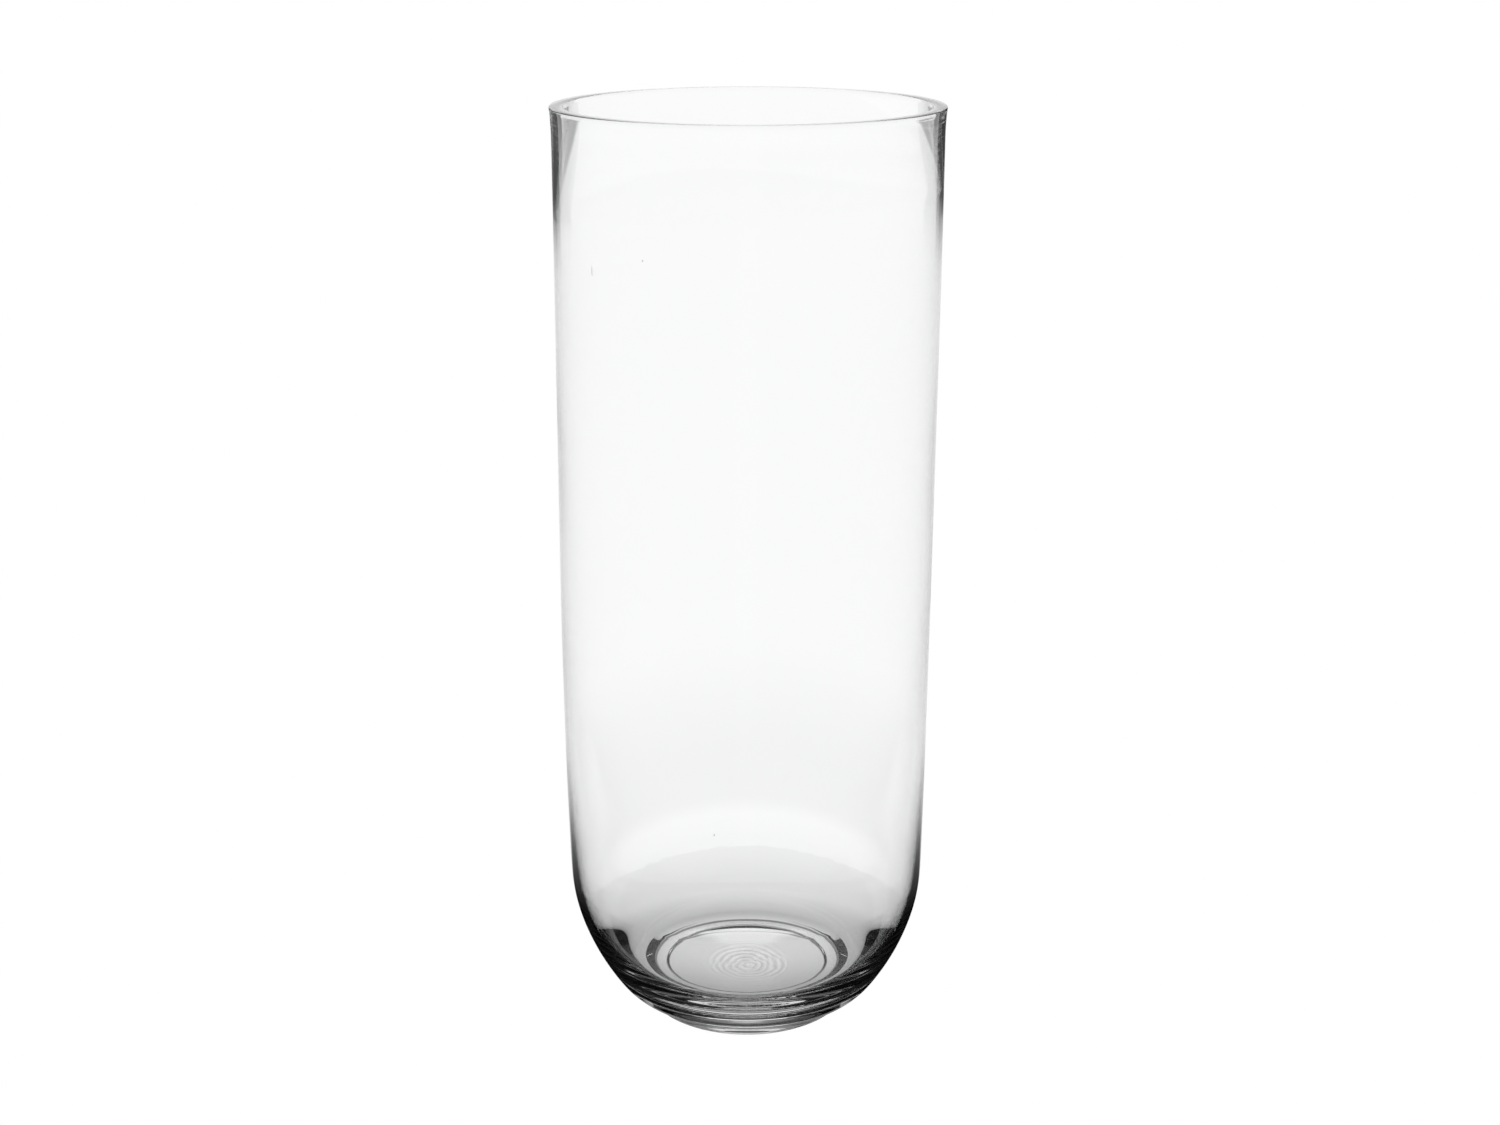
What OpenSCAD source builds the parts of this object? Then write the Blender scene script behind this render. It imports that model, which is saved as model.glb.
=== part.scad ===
// Tall blown-glass cylinder vase with a rounded bottom, a low foot and a cut rim.
// It is one piece of glass, turned about the Z axis.
// It stands on Z = 0, and the axis of the foot is the origin. All sizes are in millimetres.

/* [Body] */
// Height from the foot to the rim
height = 400; // [300:5:600]
// Outside diameter of the straight wall
body_d = 160.5; // [157:0.5:180]
// Thickness of the wall at mid height
wall_t = 1.4; // [1:0.1:3]
// How much the radius closes in between the straight wall and the bowl
taper = 1.55; // [0:0.05:2.5]
// Height above which the wall is straight
straight_z = 210; // [180:5:240]

/* [Rim] */
// Thickness of the cut and polished edge
rim_t = 5.6; // [3:0.1:7]
// How far below the edge the wall has thinned to its normal thickness
rim_run = 37; // [20:1:80]
// How far the edge stands out past the wall
lip = 0.6; // [0:0.1:1.5]
// Height over which the lip flares out
lip_h = 12; // [4:1:20]
// Bevel that breaks the two corners of the edge
rim_bevel = 0.3; // [0.1:0.1:0.8]

/* [Bowl outside] */
// Height at which the outside starts to curve in
bowl_z = 61.5; // [60:0.5:62]
// Radius of the first curve, under the wall
shoulder_r = 57; // [54:1:64]
// Angle from vertical at which the first curve ends
shoulder_angle = 14; // [12:0.5:15]
// Radius of the long curve down the side of the bowl
flank_r = 102.5; // [101:0.5:106]
// Angle from vertical at which the long curve ends
flank_angle = 36.5; // [36:0.5:38]
// Radius of the last curve, which turns in to the foot
heel_r = 19.5; // [18:0.5:26]

/* [Bowl inside] */
// Thickness of the glass in the middle of the floor
floor_t = 13.5; // [12:0.5:16]
// Radius of the shallow dish that is the floor
dish_r = 230; // [180:5:320]
// Width of that dish before the corner starts
dish_d = 102; // [96:1:106]
// Radius of the corner between the floor and the side
corner_r = 25; // [20:1:28]
// Height at which the side of the cup meets the wall
cup_z = 63; // [60:0.5:66]
// Extra thickness of the wall at that height
cup_extra_t = 1.2; // [0.6:0.1:1.8]
// Height at which that extra thickness has gone
even_z = 110; // [100:2:140]

/* [Foot] */
// Height of the foot under the bowl
foot_h = 5.6; // [5.2:0.1:6.4]
// Outside diameter of the ring that the vase stands on
ring_od = 90; // [86:0.5:92]
// Inside diameter of that ring
ring_id = 79; // [70:0.5:82]
// Radius of the rounded edge outside the ring
foot_edge_r = 1.2; // [0.6:0.1:1.8]
// Width of the step inside the ring
step_w = 1.6; // [1:0.1:4]
// Height of that step
step_h = 0.6; // [0.3:0.1:1]
// Height of the hollow at the middle of the underside
hollow_h = 1.6; // [1.2:0.1:4]

/* [Hidden] */
$fn = 180;
body_r = body_d / 2;
rim_r = body_r + lip;
ring_or = ring_od / 2;
ring_ir = ring_id / 2;
// Where the wall meets the bowl, and its lean there
wall_end = [body_r - taper, bowl_z];
bowl_lean = atan(2 * taper / (straight_z - bowl_z));
// Ends of the first two curves of the bowl, and the angle at which the third reaches the foot
shoulder_end = arc_in(wall_end, shoulder_r, bowl_lean, shoulder_angle);
flank_end = arc_in(shoulder_end, flank_r, shoulder_angle, flank_angle);
heel_angle = asin(sin(flank_angle) + (flank_end[1] - foot_h) / heel_r);
// Angle at the edge of the floor's dish, and the centre of the corner that carries on from it
dish_angle = asin(dish_d / 2 / dish_r);
dish_end = [dish_d / 2, floor_t + dish_r * (1 - cos(dish_angle))];
corner_c = dish_end + corner_r * [-sin(dish_angle), cos(dish_angle)];
// Where the cup meets the wall, and the lean of the inside there
cup_top = [bore_r(cup_z), cup_z];
cup_lean = atan(bore_r(cup_z + 1) - bore_r(cup_z));
// The side of the cup is the arc that is tangent both to the wall and to the corner
inward = [-cos(cup_lean), sin(cup_lean)];
to_corner = corner_c - cup_top;
side_r = (to_corner * to_corner - corner_r * corner_r) / (2 * (to_corner * inward - corner_r));
side_c = cup_top + side_r * inward;
corner_angle = atan2(corner_c[0] - side_c[0], side_c[1] - corner_c[1]);
// Steps along each curve of the outline
shoulder_steps = 6;
flank_steps = 10;
heel_steps = 8;
wall_steps = 12;
lip_steps = 4;
rim_steps = 10;
even_steps = 5;
side_steps = 8;
corner_steps = 10;
dish_steps = 5;
edge_steps = 4;
step_steps = 6;
hollow_steps = 6;

// Point on an arc of radius r that starts at p and turns from angle a0 to angle a, both from vertical
function arc_in(p, r, a0, a) = p - r * [cos(a0) - cos(a), sin(a) - sin(a0)];
// Point at an angle from straight down, on a circle about c
function arc_up(c, r, a) = c + r * [sin(a), -cos(a)];
// Angle or height that is step i of n on the way from one to another
function turn(from, to, i, n) = from + (to - from) * i / n;
// Outside radius of the wall, without the lip
function wall_r(z) = body_r - taper * pow(max(0, straight_z - z) / (straight_z - bowl_z), 2);
// Thickness of the wall, thicker towards the rim and a little thicker towards the bowl
function glass_t(z) = wall_t
    + (rim_t - wall_t) * pow(max(0, z - height + rim_run) / rim_run, 1.15)
    + cup_extra_t * pow(max(0, even_z - z) / (even_z - cup_z), 2);
// Inside radius of the wall
function bore_r(z) = wall_r(z) - glass_t(z);

// Hollow underside, from the axis out to the step
hollow = [for (i = [0 : hollow_steps]) let (s = i / hollow_steps)
    [(ring_ir - step_w) * s, step_h + (hollow_h - step_h) * (1 - s * s)]];
// Soft step from the hollow down to the ring
step = [for (i = [1 : step_steps]) let (s = i / step_steps)
    [ring_ir - step_w * (1 - s), step_h * (1 + cos(180 * s)) / 2]];
// Rounded outer edge of the ring
foot_edge = [for (i = [0 : edge_steps])
    arc_up([ring_or, foot_edge_r], foot_edge_r, turn(0, 90, i, edge_steps))];
// Outside of the bowl, from the foot up to the wall
heel = [for (i = [heel_steps : -1 : 0])
    arc_in(flank_end, heel_r, flank_angle, turn(flank_angle, heel_angle, i, heel_steps))];
flank = [for (i = [flank_steps - 1 : -1 : 0])
    arc_in(shoulder_end, flank_r, shoulder_angle, turn(shoulder_angle, flank_angle, i, flank_steps))];
shoulder = [for (i = [shoulder_steps - 1 : -1 : 0])
    arc_in(wall_end, shoulder_r, bowl_lean, turn(bowl_lean, shoulder_angle, i, shoulder_steps))];
// Outside of the wall, as it opens up to its full width
wall = [for (i = [1 : wall_steps]) let (z = turn(bowl_z, straight_z, i, wall_steps)) [wall_r(z), z]];
// The flared lip and the flat edge with its two bevels
lip_curve = [for (i = [0 : lip_steps]) let (s = i / lip_steps)
    [body_r + lip * s * s, height - lip_h + (lip_h - rim_bevel) * s]];
edge = [[rim_r - rim_bevel, height], [rim_r - rim_t + rim_bevel, height]];
// Inside of the wall, thinning below the rim, then even, then a little thicker down to the cup
rim_inside = [for (i = [0 : rim_steps]) let (z = turn(height - rim_bevel, height - rim_run, i, rim_steps))
    [bore_r(z) + lip * pow(max(0, z - height + lip_h) / lip_h, 2), z]];
wall_inside = [for (i = [1 : wall_steps]) let (z = turn(height - rim_run, even_z, i, wall_steps)) [bore_r(z), z]];
even_inside = [for (i = [1 : even_steps]) let (z = turn(even_z, cup_z, i, even_steps)) [bore_r(z), z]];
// Inside of the cup: its side, the corner, and the dish of the floor down to the axis
cup_side = [for (i = [1 : side_steps])
    arc_up(side_c, side_r, turn(90 - cup_lean, corner_angle, i, side_steps))];
corner = [for (i = [1 : corner_steps])
    arc_up(corner_c, corner_r, turn(corner_angle, dish_angle, i, corner_steps))];
dish = [for (i = [1 : dish_steps])
    arc_up([0, floor_t + dish_r], dish_r, turn(dish_angle, 0, i, dish_steps))];

// The whole vase, as one outline turned about the axis
module vase() {
    color([0.86, 0.9, 0.9, 0.35])
        rotate_extrude()
            polygon(concat(
                hollow,
                step,
                foot_edge,
                heel,
                flank,
                shoulder,
                wall,
                lip_curve,
                edge,
                rim_inside,
                wall_inside,
                even_inside,
                cup_side,
                corner,
                dish
            ));
}

vase();
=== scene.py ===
"""Looks of the glass cylinder vase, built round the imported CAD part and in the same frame.

The vase is one piece of blown glass. Its mesh follows the CAD outline and adds what a hand-made vase has:
a slight bow, waves in the wall, a rim that thins over a longer run on one side than on the other, ripples
under the floor and a few seeds (bubbles). Clear glass shows only what it bends and reflects. So the stage
is plain white to the camera, and a studio to rays that come by way of the glass.

The glass is worked out in millimetres, as radii from the axis and heights. The stage is in metres.
"""

import math

import bpy
import numpy as np
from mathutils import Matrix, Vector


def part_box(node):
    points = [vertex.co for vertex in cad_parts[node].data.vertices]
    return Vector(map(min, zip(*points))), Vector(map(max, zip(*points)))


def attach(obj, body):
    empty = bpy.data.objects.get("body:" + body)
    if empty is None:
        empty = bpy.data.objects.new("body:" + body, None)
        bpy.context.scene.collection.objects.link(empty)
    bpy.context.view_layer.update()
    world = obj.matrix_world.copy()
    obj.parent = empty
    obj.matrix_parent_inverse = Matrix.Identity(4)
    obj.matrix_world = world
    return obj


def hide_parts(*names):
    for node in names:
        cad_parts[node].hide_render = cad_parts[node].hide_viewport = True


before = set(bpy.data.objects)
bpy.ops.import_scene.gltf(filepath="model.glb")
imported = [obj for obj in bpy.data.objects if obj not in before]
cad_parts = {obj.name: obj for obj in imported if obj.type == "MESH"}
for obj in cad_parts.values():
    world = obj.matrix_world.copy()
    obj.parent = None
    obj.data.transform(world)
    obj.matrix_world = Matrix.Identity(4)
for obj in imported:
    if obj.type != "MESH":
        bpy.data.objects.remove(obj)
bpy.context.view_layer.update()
_, cad_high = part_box("vase")
scene = bpy.context.scene
MM = 0.001
TURN = 2 * math.pi


# ---------------------------------------------------------------- outline of the glass, in millimetres
HEIGHT = cad_high.z / MM
# how far the edge of the rim stands out past the wall, and the height over which it flares
LIP, LIP_H = 0.6, 12.0
BODY_R = cad_high.x / MM - LIP
# thickness of the wall and of the cut edge, how far below the edge the wall has thinned, and the bevels
WALL_T, RIM_T, RIM_RUN, RIM_BEVEL = 1.4, 5.6, 37.0, 0.3
# how much the radius closes in down to the bowl, and the height above which the wall is straight
TAPER, STRAIGHT_Z = 1.55, 210.0
# outside of the bowl: the height of its top, and the arcs with the angles at which they end
BOWL_Z, SHOULDER_R, SHOULDER_A, FLANK_R, FLANK_A, HEEL_R = 61.5, 57.0, 14.0, 102.5, 36.5, 19.5
# inside of the bowl: the floor's thickness in the middle, its dish, and the corner that follows
FLOOR_T, DISH_R, DISH_HALF, CORNER_R = 13.5, 230.0, 51.0, 25.0
# where the cup meets the wall, the extra thickness there, and the height at which it has gone;
# the last two are less than in the CAD, which keeps the dark edges of the wall narrow
CUP_Z, CUP_EXTRA_T, EVEN_Z = 63.0, 0.5, 98.0
# the foot and the ring that it stands on, then the step and the hollow inside the ring
FOOT_H, RING_OR, RING_IR, FOOT_EDGE_R = 5.6, 45.0, 39.5, 1.2
STEP_W, STEP_H, HOLLOW_H = 1.6, 0.6, 1.6
# over how much of the outline its curvature is evened out: in general, and where the heel joins the flank
SOFT, HEEL_SOFT = 6.0, 2.5


def sin_d(a):
    return np.sin(np.radians(a))


def cos_d(a):
    return np.cos(np.radians(a))


def wall_r(z):
    """Outside radius of the wall, without the lip."""
    return BODY_R - TAPER * (np.maximum(0, STRAIGHT_Z - z) / (STRAIGHT_Z - BOWL_Z)) ** 2


def bore_r(z, run=RIM_RUN):
    """Inside radius of the wall; the glass thickens over `run` below the rim and a little above the bowl."""
    rim = (RIM_T - WALL_T) * (np.maximum(0, z - HEIGHT + run) / run) ** 1.15
    return wall_r(z) - WALL_T - rim - CUP_EXTRA_T * (np.maximum(0, EVEN_Z - z) / (EVEN_Z - CUP_Z)) ** 2


def arc_in(p, r, a0, a):
    """Points on an arc that starts at p and leans in from angle a0 to angle a, both from vertical."""
    return np.stack([p[0] - r * (cos_d(a0) - cos_d(a)), p[1] - r * (sin_d(a) - sin_d(a0))], -1)


def arc_up(c, r, a):
    """Points at angles from straight down, on a circle about c."""
    return np.stack([c[0] + r * sin_d(a), c[1] - r * cos_d(a)], -1)


def soften(points, width):
    """The same outline with its curvature evened out over about `width` each way, as soft glass settles."""
    spacing = 0.2
    along = np.concatenate([[0], np.cumsum(np.hypot(*np.diff(points, axis=0).T))])
    even = np.linspace(0, along[-1], int(along[-1] / spacing))
    x, z = (np.interp(even, along, column) for column in points.T)
    angle = np.unwrap(np.arctan2(np.diff(z), np.diff(x)))
    reach = int(3 * width / spacing)
    weight = np.exp(-0.5 * (np.arange(-reach, reach + 1) * spacing / width) ** 2)
    padded = np.concatenate([np.full(reach, angle[0]), angle, np.full(reach, angle[-1])])
    angle = np.convolve(padded, weight / weight.sum(), "valid")
    step = even[1] - even[0]
    x = x[0] + np.concatenate([[0], np.cumsum(np.cos(angle))]) * step
    z = z[0] + np.concatenate([[0], np.cumsum(np.sin(angle))]) * step
    # the evened outline ends a little off, and that is shared out along it
    drift = (points[-1] - (x[-1], z[-1])) * (even / along[-1])[:, None]
    return np.stack([np.interp(along, even, x + drift[:, 0]), np.interp(along, even, z + drift[:, 1])], -1)


def underside():
    """From the axis out over the hollow and down the soft step to the ring."""
    share = np.linspace(0, 1, 90)
    hollow = np.stack([(RING_IR - STEP_W) * share, STEP_H + (HOLLOW_H - STEP_H) * (1 - share * share)], -1)
    share = np.linspace(0, 1, 14)[1:]
    step = np.stack([RING_IR - STEP_W * (1 - share), STEP_H * (1 + np.cos(np.pi * share)) / 2], -1)
    return np.concatenate([hollow, step])


def outside():
    """From the inner edge of the ring, over the foot, bowl and wall, to the outer corner of the rim."""
    lean = math.degrees(math.atan(2 * TAPER / (STRAIGHT_Z - BOWL_Z)))
    wall_end = (BODY_R - TAPER, BOWL_Z)
    shoulder_end = arc_in(wall_end, SHOULDER_R, lean, SHOULDER_A)
    flank_end = arc_in(shoulder_end, FLANK_R, SHOULDER_A, FLANK_A)
    heel_a = math.degrees(math.asin(sin_d(FLANK_A) + (flank_end[1] - FOOT_H) / HEEL_R))
    ring = np.stack([np.linspace(RING_IR, RING_OR, 7)[1:-1], np.zeros(5)], -1)
    edge = arc_up((RING_OR, FOOT_EDGE_R), FOOT_EDGE_R, np.linspace(0, 90, 8))
    heel = arc_in(flank_end, HEEL_R, FLANK_A, np.linspace(heel_a, FLANK_A, 20))
    side = edge[-1] + (heel[0] - edge[-1]) * np.linspace(0, 1, 7)[1:-1, None]
    flank = arc_in(shoulder_end, FLANK_R, SHOULDER_A, np.linspace(FLANK_A, SHOULDER_A, 26)[1:])
    shoulder = arc_in(wall_end, SHOULDER_R, lean, np.linspace(SHOULDER_A, lean, 14)[1:])
    z = np.linspace(BOWL_Z, HEIGHT - LIP_H, 60)[1:]
    wall = np.stack([wall_r(z), z], -1)
    share = np.linspace(0, 1, 8)[1:]
    lip = np.stack([BODY_R + LIP * share * share, HEIGHT - LIP_H + (LIP_H - RIM_BEVEL) * share], -1)
    body = soften(np.concatenate([flank, shoulder, wall]), SOFT)
    # the heel is evened together with the first points of the flank
    joined = 20
    heel_up = soften(np.concatenate([heel, body[:joined]]), HEEL_SOFT)
    return np.concatenate([ring, edge, side, heel_up, body[joined:], lip])


def inside(run):
    """From the cut edge of the rim down the wall and round the cup to the axis."""
    edge = [(BODY_R + LIP - RIM_BEVEL, HEIGHT), (BODY_R + LIP - RIM_T + RIM_BEVEL, HEIGHT)]
    # rows lie close together from the edge down to past the longest run
    share = np.linspace(0, 1, 26)
    z = HEIGHT - RIM_BEVEL - (RIM_RUN * 1.25 - RIM_BEVEL) * share
    flare = LIP * np.clip((z - HEIGHT + LIP_H) / LIP_H, 0, 1) ** 2
    rim = np.stack([bore_r(z, run) + flare, z], -1)
    z = np.linspace(z[-1], CUP_Z, 56)[1:]
    wall = np.stack([bore_r(z, run), z], -1)
    dish_a = math.degrees(math.asin(DISH_HALF / DISH_R))
    corner_c = np.array([
        DISH_HALF - CORNER_R * sin_d(dish_a),
        FLOOR_T + DISH_R * (1 - cos_d(dish_a)) + CORNER_R * cos_d(dish_a),
    ])
    # the side of the cup is the arc that is tangent both to the wall and to the corner
    cup_top = np.array([bore_r(CUP_Z), CUP_Z])
    lean = math.degrees(math.atan(bore_r(CUP_Z + 1) - bore_r(CUP_Z)))
    inward = np.array([-cos_d(lean), sin_d(lean)])
    to_corner = corner_c - cup_top
    side_r = (to_corner @ to_corner - CORNER_R ** 2) / (2 * (to_corner @ inward - CORNER_R))
    side_c = cup_top + side_r * inward
    corner_a = math.degrees(math.atan2(corner_c[0] - side_c[0], side_c[1] - corner_c[1]))
    side = arc_up(side_c, side_r, np.linspace(90 - lean, corner_a, 20)[1:])
    corner = arc_up(corner_c, CORNER_R, np.linspace(corner_a, dish_a, 24)[1:])
    dish = arc_up((0, FLOOR_T + DISH_R), DISH_R, np.linspace(dish_a, 0, 30)[1:])
    return np.concatenate([edge, rim, soften(np.concatenate([wall, side, corner, dish]), SOFT)])


# ---------------------------------------------------------------- what a hand-made vase adds, in millimetres
# sideways bow of the axis, height of the waves in the wall, and by what part the rim's run varies
BOW, WAVE_H, RUN_VARIES = 0.55, 0.05, 0.14
# height and spacing of the ripples under the floor, and how far out they go
RIPPLE_H, RIPPLE_SPACING, RIPPLE_R = 0.065, 3.4, 22


def bow(z):
    """How far the axis is off to -X at a height; it fades out towards the foot, which stands level."""
    return BOW * np.sin(np.pi * (z / HEIGHT) * 1.6 - 0.2) * np.clip(z / 40, 0, 1)


def waves(phi, z, count, most_turns, length, seed):
    """A smooth random field on the wall: a sum of sines, mostly under WAVE_H high."""
    draws = np.random.default_rng(seed)
    total = 0
    for _ in range(count):
        turns = draws.integers(1, most_turns + 1)
        round_it = np.sin(turns * phi + draws.uniform(0, TURN))
        up_it = np.sin(z * draws.uniform(0.3, 1) * TURN / length + draws.uniform(0, TURN))
        total = total + round_it * up_it
    return WAVE_H * (total / math.sqrt(count))


def broad_waves(phi, z):
    """Waves of the wall as a whole."""
    return waves(phi, z, count=6, most_turns=4, length=160, seed=3)


def inner_waves(phi, z):
    """Shorter waves that only the inside has."""
    return waves(phi, z, count=8, most_turns=6, length=90, seed=4)


def ripples(r, phi):
    """Height of the chill ripples in the middle of the underside."""
    wobble = 0.7 * np.sin(phi + 1.0) + 0.5 * np.sin(2 * phi + 0.6) + 0.35 * np.sin(3 * phi + 2.1)
    swell = np.clip(r / 6, 0, 1) * wobble
    fade = np.clip((RIPPLE_R - r) / 12, 0, 1)
    return RIPPLE_H * fade * np.sin(TURN * (r + swell) / RIPPLE_SPACING + 0.5 * np.sin(phi))


def outline(phi):
    """The whole outline at an azimuth, from the middle of the underside to the middle of the cup."""
    under, out, bore = underside(), outside(), inside(RIM_RUN * (1 - RUN_VARIES * math.cos(phi)))
    under[:, 1] += ripples(under[:, 0], phi)
    z = out[:, 1]
    out[:, 0] += broad_waves(phi, z) * np.clip(z / 60, 0, 1)
    z = bore[:, 1]
    upper = np.clip((z - 60) / 60, 0, 1)
    bore[:, 0] += broad_waves(phi, z) * upper + inner_waves(phi, z) * upper
    return np.concatenate([under, out, bore])


# ---------------------------------------------------------------- mesh of the glass
AROUND = 240
phi = np.linspace(0, TURN, AROUND, endpoint=False)
rows = np.array([outline(a) for a in phi])
r, z = rows[..., 0], rows[..., 1]
x = r * np.cos(phi)[:, None] - bow(z)
y = r * np.sin(phi)[:, None]
turned = np.stack([x, y, z], -1).reshape(-1, 3) * MM

# the first and last points of each row lie on the axis: all rows share those of the first row
n = rows.shape[1]
turned_faces = []
for i in range(AROUND):
    j = (i + 1) % AROUND
    for k in range(n - 1):
        a, b, c, d = i * n + k, j * n + k, j * n + k + 1, i * n + k + 1
        if k == 0:
            turned_faces.append((0, c, d))
        elif k == n - 2:
            turned_faces.append((a, b, n - 1))
        else:
            turned_faces.append((a, b, c, d))
used = sorted({corner for face in turned_faces for corner in face})
index = {corner: i for i, corner in enumerate(used)}
points = [tuple(turned[corner]) for corner in used]
faces = [tuple(index[corner] for corner in face) for face in turned_faces]

SEED_AROUND, SEED_UP = 12, 8


def add_seed(azimuth, z, width, length):
    """Add a bubble in the middle of the wall, drawn out upwards; its faces look in, away from the glass."""
    r = wall_r(z) - WALL_T / 2
    a = math.radians(azimuth)
    centre = np.array([r * math.cos(a) - bow(z), r * math.sin(a), z])
    first = len(points)
    for i in range(1, SEED_UP):
        v = math.pi * i / SEED_UP
        for j in range(SEED_AROUND):
            u = TURN * j / SEED_AROUND
            across = width * math.sin(v)
            reach = np.array([across * math.cos(u), across * math.sin(u), length * math.cos(v)]) / 2
            points.append(tuple((centre + reach) * MM))
    top = len(points)
    points.append(tuple((centre + (0, 0, length / 2)) * MM))
    points.append(tuple((centre - (0, 0, length / 2)) * MM))
    last = first + (SEED_UP - 2) * SEED_AROUND
    for j in range(SEED_AROUND):
        k = (j + 1) % SEED_AROUND
        faces.append((top, first + k, first + j))
        faces.append((top + 1, last + j, last + k))
        for row in range(first, last, SEED_AROUND):
            faces.append((row + j, row + k, row + SEED_AROUND + k, row + SEED_AROUND + j))


# all four are in the front wall, left of the middle: two near the rim and two above the bowl
add_seed(-120.4, 348, 0.45, 0.6)
add_seed(-139.8, 341, 0.35, 4.0)
add_seed(-158.0, 102, 0.45, 5.0)
add_seed(-99.4, 112, 0.4, 0.9)
mesh = bpy.data.meshes.new("vase_glass")
mesh.from_pydata(points, [], faces)
mesh.polygons.foreach_set("use_smooth", [True] * len(mesh.polygons))
mesh.update()
vase = bpy.data.objects.new("vase_glass", mesh)
scene.collection.objects.link(vase)


# ---------------------------------------------------------------- node helpers
class Tree:
    """Node tree of a material or world, with short calls for the nodes used here.

    A value is a number or another node's output, and each call returns an output.
    """

    def __init__(self, owner):
        owner.use_nodes = True
        self.nodes = owner.node_tree.nodes
        self.links = owner.node_tree.links
        self.nodes.clear()

    def new(self, kind, **settings):
        node = self.nodes.new(kind)
        for key, value in settings.items():
            setattr(node, key, value)
        return node

    def feed(self, socket, value):
        if isinstance(value, bpy.types.NodeSocket):
            self.links.new(value, socket)
        else:
            socket.default_value = value

    def maths(self, operation, *values):
        node = self.new("ShaderNodeMath", operation=operation)
        for socket, value in zip(node.inputs, values):
            self.feed(socket, value)
        return node.outputs[0]

    def plus(self, a, b):
        return self.maths("ADD", a, b)

    def times(self, a, b):
        return self.maths("MULTIPLY", a, b)

    def minus(self, a, b):
        return self.maths("SUBTRACT", a, b)

    def larger(self, a, b):
        return self.maths("MAXIMUM", a, b)

    def past(self, value, limit):
        """1 where value is over limit, else 0."""
        return self.maths("GREATER_THAN", value, limit)

    def mix(self, factor, a, b):
        """Number between a and b."""
        return self.plus(a, self.times(factor, self.minus(b, a)))

    def ramp(self, value, low, high, to_low=0.0, to_high=1.0):
        """Smooth step of value from to_low at low to to_high at high."""
        node = self.new("ShaderNodeMapRange", interpolation_type="SMOOTHSTEP")
        names = ("Value", "From Min", "From Max", "To Min", "To Max")
        for name, v in zip(names, (value, low, high, to_low, to_high)):
            self.feed(node.inputs[name], v)
        return node.outputs["Result"]

    def band(self, value, out_low, low, high, out_high):
        """1 from low to high, fading to 0 at out_low and at out_high."""
        return self.times(self.ramp(value, out_low, low), self.ramp(value, high, out_high, 1.0, 0.0))

    def vector(self, operation, *values, output="Vector"):
        node = self.new("ShaderNodeVectorMath", operation=operation)
        for socket, value in zip(node.inputs, values):
            self.feed(socket, value)
        return node.outputs[output]

    def parts(self, vector):
        """The outputs X, Y and Z of a vector."""
        node = self.new("ShaderNodeSeparateXYZ")
        self.feed(node.inputs[0], vector)
        return node.outputs

    def noise(self, place, scale):
        node = self.new("ShaderNodeTexNoise")
        self.feed(node.inputs["Vector"], place)
        node.inputs["Scale"].default_value = scale
        return node.outputs["Fac"]


def level_direction(tree, vector):
    """Unit vector of the horizontal part of a vector."""
    return tree.vector("NORMALIZE", tree.vector("MULTIPLY", vector, (1, 1, 0)))


def sector(tree, direction, azimuth, half, soft):
    """1 within `half` degrees of an azimuth (0 is +Y, 90 is +X), fading to 0 over `soft` more."""
    ahead = tree.vector("DOT_PRODUCT", direction, (sin_d(azimuth), cos_d(azimuth), 0), output="Value")
    return tree.ramp(ahead, cos_d(half + soft), cos_d(half))


def drapes(tree, direction):
    """1 where a dark drape hangs, either side of the white backdrop straight behind the vase."""
    azimuth, half, soft = 25.5, 12, 1.5
    right = sector(tree, direction, azimuth, half, soft)
    left = sector(tree, direction, -azimuth, half, soft)
    return tree.larger(right, left)


def stage_level(tree, plain, straight, mirrored, opening, later):
    """How bright the stage is.

    It is `plain` to the camera, `straight` to rays that went straight through the glass, and `mirrored` to
    rays that the glass reflected. From the second reflection on it is almost black, except in `opening`,
    where `mirrored` is still full at the second and is down to the share `later` from the third on.
    """
    path = tree.new("ShaderNodeLightPath").outputs
    reflections = path["Glossy Depth"]
    almost_black = 0.03
    share = tree.mix(tree.past(reflections, 1.5), 1.0, almost_black)
    share = tree.larger(share, tree.times(opening, tree.mix(tree.past(reflections, 2.5), 1.0, later)))
    by_glass = tree.mix(tree.past(reflections, 0.5), straight, tree.times(mirrored, share))
    return tree.mix(path["Is Camera Ray"], by_glass, plain)


# ---------------------------------------------------------------- glass
def clear_glass():
    """Clear glass with faint cords in it, on a foot that is dulled where it stands."""
    material = bpy.data.materials.new("clear_glass")
    tree = Tree(material)
    shader = tree.new("ShaderNodeBsdfPrincipled")
    shader.inputs["Transmission Weight"].default_value = 1.0
    shader.inputs["IOR"].default_value = 1.5
    coords = tree.new("ShaderNodeTexCoord").outputs["Object"]
    # the cords tint the glass by about one percent
    cords = tree.noise(coords, 18)
    tint = tree.new("ShaderNodeMix", data_type="RGBA")
    tree.feed(tint.inputs["Factor"], cords)
    tint.inputs["A"].default_value = (1.0, 1.0, 1.0, 1)
    tint.inputs["B"].default_value = (0.985, 0.992, 0.99, 1)
    tree.feed(shader.inputs["Base Color"], tint.outputs["Result"])
    # the ring that the vase stands on is scuffed in patches
    on_ring = tree.ramp(tree.parts(coords)["Z"], 0.0001, 0.0004, 1.0, 0.0)
    scuffs = tree.noise(coords, 900)
    wear = tree.times(on_ring, tree.ramp(scuffs, 0.45, 0.6))
    tree.feed(shader.inputs["Roughness"], tree.times(wear, 0.2))
    tree.feed(tree.new("ShaderNodeOutputMaterial").inputs["Surface"], shader.outputs[0])
    return material


mesh.materials.append(clear_glass())


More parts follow.
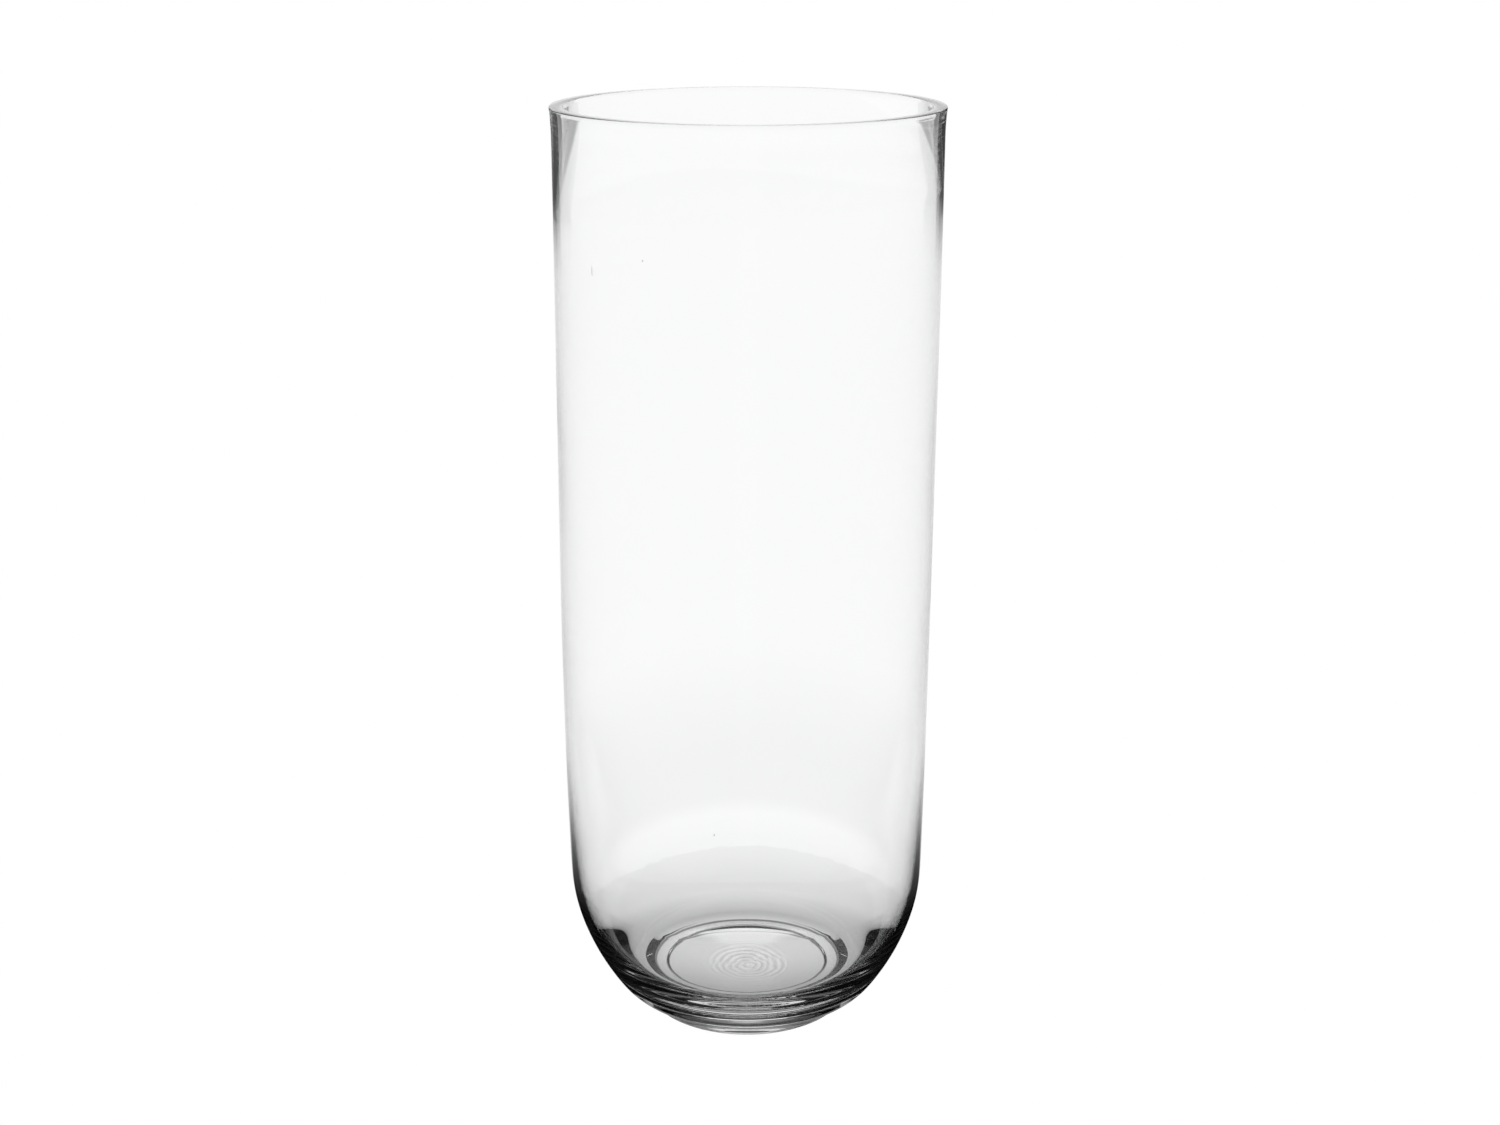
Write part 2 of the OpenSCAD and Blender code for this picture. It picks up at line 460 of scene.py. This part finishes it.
# ---------------------------------------------------------------- floor
def around_ring(radius, *offsets):
    """Radii in metres at offsets in millimetres from a radius of the foot."""
    return [(radius + offset) * MM for offset in offsets]


def under_vase(tree, spot, back, uneven):
    """Painted light and shade on the floor under the vase: lighter to the back, with faint closed rings of
    painted light where its ripples would gather light.
    """
    middle, ring_spacing, wander = (0.0015, -0.001, 0), 0.0032, 0.005
    from_middle = tree.vector("DISTANCE", spot, middle, output="Value")
    wandering = tree.plus(from_middle, tree.times(uneven, wander))
    # painted light: the rings stand in for light that the ripples would gather onto the floor
    rings = tree.maths("SINE", tree.times(wandering, TURN / ring_spacing))
    rings = tree.times(rings, tree.ramp(from_middle, 0.014, 0.023, 0.13, 0.0))
    # painted shade: the floor is darker to the front and lighter to the back
    return tree.times(tree.ramp(back, -0.042, 0.036, 0.40, 0.84), tree.plus(1.0, rings))


def shade_of_vase(tree, spot, radius):
    """The floor as it shows straight through the glass, with painted shade round the foot."""
    place = tree.parts(spot)
    uneven = tree.noise(spot, 130)
    # it is dimmer close to the foot, where the glass shades it
    shade = tree.plus(tree.ramp(radius, 0.050, 0.078, 0.46, 0.79), tree.ramp(radius, 0.070, 0.150, 0.0, 0.12))
    # the edge of that shade is further out: a ragged arch at the back, and soft towards the front
    arch_y, arch_bend, ragged, soft, rise = 0.1432, 10.0, 0.012, 0.0006, 0.07
    arch = tree.plus(place["Y"], tree.times(tree.maths("POWER", place["X"], 2.0), arch_bend))
    arch = tree.plus(arch, tree.times(tree.minus(uneven, 0.5), ragged))
    at_back = tree.ramp(place["Y"], 0.0, 0.05)
    edge = tree.mix(at_back, tree.ramp(radius, 0.11, 0.20), tree.ramp(arch, arch_y, arch_y + soft))
    shade = tree.plus(shade, tree.times(edge, rise))
    shade = tree.mix(tree.ramp(radius, 0.040, 0.052), under_vase(tree, spot, place["Y"], uneven), shade)
    # painted shade: a dark line is drawn under each edge of the ring that the vase stands on, as its contact
    # shadow
    outer_shade_line = tree.band(radius, *around_ring(RING_OR, -0.6, -0.2, 0.6, 1.1))
    inner_shade_line = tree.band(radius, *around_ring(RING_IR, -1.5, -0.9, 0.0, 0.4))
    painted_ring_shade = tree.times(tree.larger(outer_shade_line, inner_shade_line), 0.7)
    return tree.times(shade, tree.minus(1.0, painted_ring_shade))


def white_floor():
    """Plain white to the camera, and shaded round the foot of the vase to rays that come by the glass."""
    material = bpy.data.materials.new("white_floor")
    tree = Tree(material)
    spot = tree.new("ShaderNodeNewGeometry").outputs["Position"]
    around = level_direction(tree, spot)
    radius = tree.vector("LENGTH", spot, output="Value")
    shade = shade_of_vase(tree, spot, radius)
    # to rays that the glass has reflected it is black close to the foot, and it ends at the drapes
    lit_part = tree.ramp(radius, 0.11, 0.36, 0.0, 0.92)
    ends = tree.times(drapes(tree, around), tree.ramp(radius, 1.9, 2.7, 0.0, 0.88))
    lit_part = tree.times(lit_part, tree.minus(1.0, ends))
    # it is lit under the foot, on the floor close behind the vase, and in a strip to the backdrop
    lit_part = tree.larger(lit_part, tree.ramp(radius, 0.050, 0.056, 0.85, 0.0))
    behind = tree.times(sector(tree, around, 0, 35, 15), tree.ramp(radius, 0.25, 0.5, 0.7, 0.0))
    lit_part = tree.larger(lit_part, behind)
    lit_part = tree.larger(lit_part, sector(tree, around, 0, 12, 3))
    mirrored = tree.times(shade, lit_part)
    opening = sector(tree, around, 0, 12, 8)
    level = stage_level(tree, plain=1.0, straight=shade, mirrored=mirrored, opening=opening, later=0.3)
    glow = tree.new("ShaderNodeEmission")
    tree.feed(glow.inputs["Strength"], level)
    tree.feed(tree.new("ShaderNodeOutputMaterial").inputs["Surface"], glow.outputs[0])
    return material


# the floor lies just under the foot, so that their faces don't meet
bpy.ops.mesh.primitive_circle_add(vertices=96, radius=30, fill_type="NGON", location=(0, 0, -0.0003))
floor = bpy.context.object
floor.name = "floor"
floor.data.materials.append(white_floor())


# ---------------------------------------------------------------- studio light
def studio():
    """White to the camera; to rays that come by the glass, a backdrop, drapes, panels and a ceiling."""
    world = bpy.data.worlds.new("studio")
    tree = Tree(world)
    direction = tree.new("ShaderNodeTexCoord").outputs["Generated"]
    height = tree.parts(direction)["Z"]
    around = level_direction(tree, direction)
    hung = drapes(tree, around)
    # the drapes are grey along their edge with the backdrop, and dark past it
    drape = tree.ramp(tree.parts(around)["Y"], cos_d(18.5), cos_d(16), 0.08, 0.38)
    # straight through the glass: drapes on white, under a dark ceiling
    straight = tree.mix(hung, 1.0, drape)
    straight = tree.mix(tree.ramp(height, sin_d(22), sin_d(30)), straight, 0.05)
    # reflected in it: the backdrop, the drapes, panels low down past them and in front, and a dim ceiling
    backdrop = sector(tree, around, 0, 12.5, 1)
    panels = tree.ramp(height, sin_d(10), sin_d(22), 0.8, 0.05)
    panels = tree.larger(panels, tree.times(sector(tree, around, 180, 65, 20), 0.45))
    mirrored = tree.mix(hung, tree.mix(backdrop, panels, 1.0), drape)
    mirrored = tree.mix(tree.ramp(height, sin_d(50), sin_d(70)), mirrored, 0.3)
    # in the opening straight behind the vase, only what is low down is left at the third reflection
    opening = sector(tree, around, 0, 8, 3)
    later = tree.ramp(height, sin_d(17), sin_d(21), 0.8, 0.05)
    level = stage_level(tree, plain=1.02, straight=straight, mirrored=mirrored, opening=opening, later=later)
    background = tree.new("ShaderNodeBackground")
    background.inputs["Color"].default_value = (1, 1, 1, 1)
    tree.feed(background.inputs["Strength"], level)
    tree.feed(tree.new("ShaderNodeOutputWorld").inputs["Surface"], background.outputs[0])
    return world


scene.world = studio()

# ---------------------------------------------------------------- camera
LOOKS_DOWN = 17.7
camera_data = bpy.data.cameras.new("camera")
camera = bpy.data.objects.new("camera", camera_data)
scene.collection.objects.link(camera)
camera_data.sensor_width = 36
camera_data.sensor_fit = "HORIZONTAL"
camera_data.lens = 51.3
camera_data.shift_x = 0.0021
camera_data.clip_start = 0.01
camera.location = (0, -0.883, 0.4867)
camera.rotation_euler = (math.radians(90 - LOOKS_DOWN), 0, 0)
scene.camera = camera

scene.view_settings.view_transform = "Standard"
# light meets many faces of the glass before it leaves
scene.cycles.max_bounces = 32
scene.cycles.transmission_bounces = 32
scene.cycles.glossy_bounces = 24
scene.cycles.transparent_max_bounces = 16
scene.cycles.sample_clamp_indirect = 0
scene.cycles.blur_glossy = 0

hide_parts("vase")
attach(vase, "root")
